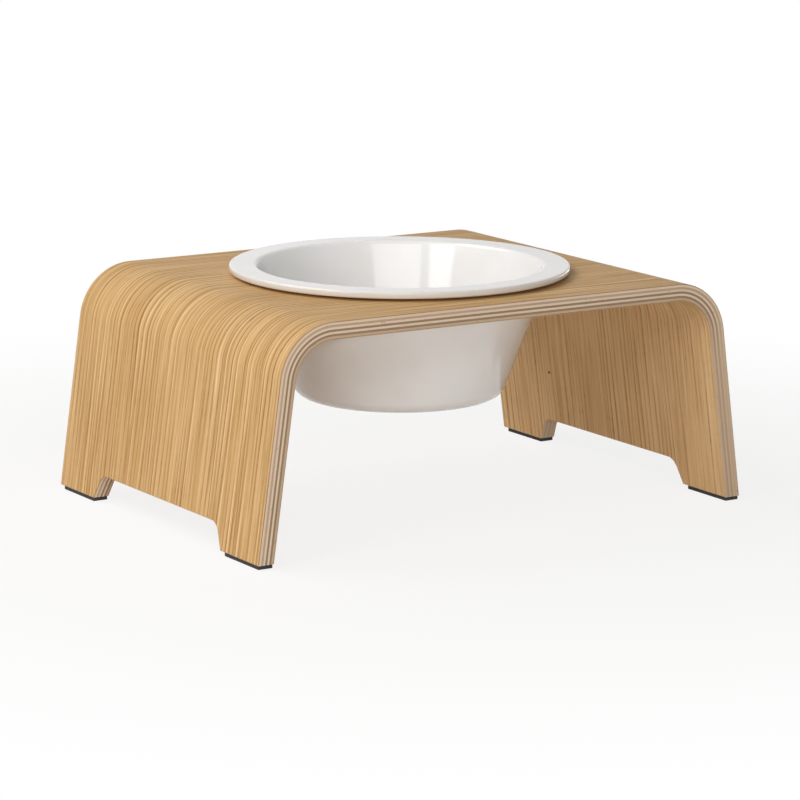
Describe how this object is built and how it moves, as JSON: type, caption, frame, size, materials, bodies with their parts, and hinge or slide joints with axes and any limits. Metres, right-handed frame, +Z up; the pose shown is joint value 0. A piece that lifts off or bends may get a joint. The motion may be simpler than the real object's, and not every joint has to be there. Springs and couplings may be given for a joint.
{
  "type": "elevated dog feeder",
  "caption": "Elevated pet feeder: a bent plywood stand with splayed, notched legs and foot pads carries a round rimmed ceramic bowl in a hole in its top.",
  "frame": {"origin": "centre of the footprint, on the surface that the foot pads stand on", "axes": "+X from the left leg to the right leg, +Y from the front edge to the back edge, +Z up along the bowl's axis"},
  "size_m": [0.3616, 0.257, 0.1526],
  "materials": {
    "oak_veneer": "oiled straight-grained oak, satin",
    "long_grain_ply": "pale core ply seen along its grain, sanded",
    "cross_grain_ply": "core ply seen on its end grain, sanded",
    "glazed_bowl": "white gloss glaze",
    "foot_pad": "charcoal rubber, matte",
    "adhesive_film": "clear adhesive film"
  },
  "bodies": {
    "stand": {"outer_face_veneer": "oak_veneer", "core_ply_1": "long_grain_ply", "core_ply_2": "cross_grain_ply", "core_ply_3": "long_grain_ply", "core_ply_4": "cross_grain_ply", "core_ply_5": "long_grain_ply", "core_ply_6": "cross_grain_ply", "core_ply_7": "long_grain_ply", "inner_face_veneer": "oak_veneer", "foot_pad_front_left": "foot_pad", "foot_pad_front_right": "foot_pad", "foot_pad_back_left": "foot_pad", "foot_pad_back_right": "foot_pad", "foot_adhesive_front_left": "adhesive_film", "foot_adhesive_front_right": "adhesive_film", "foot_adhesive_back_left": "adhesive_film", "foot_adhesive_back_right": "adhesive_film"},
    "bowl": {"bowl": "glazed_bowl"}
  },
  "joints": [
    {"name": "bowl_lift", "type": "slide", "parent": "stand", "child": "bowl", "axis": [0, 0, 1], "range_m": [0, 0.1]}
  ]
}
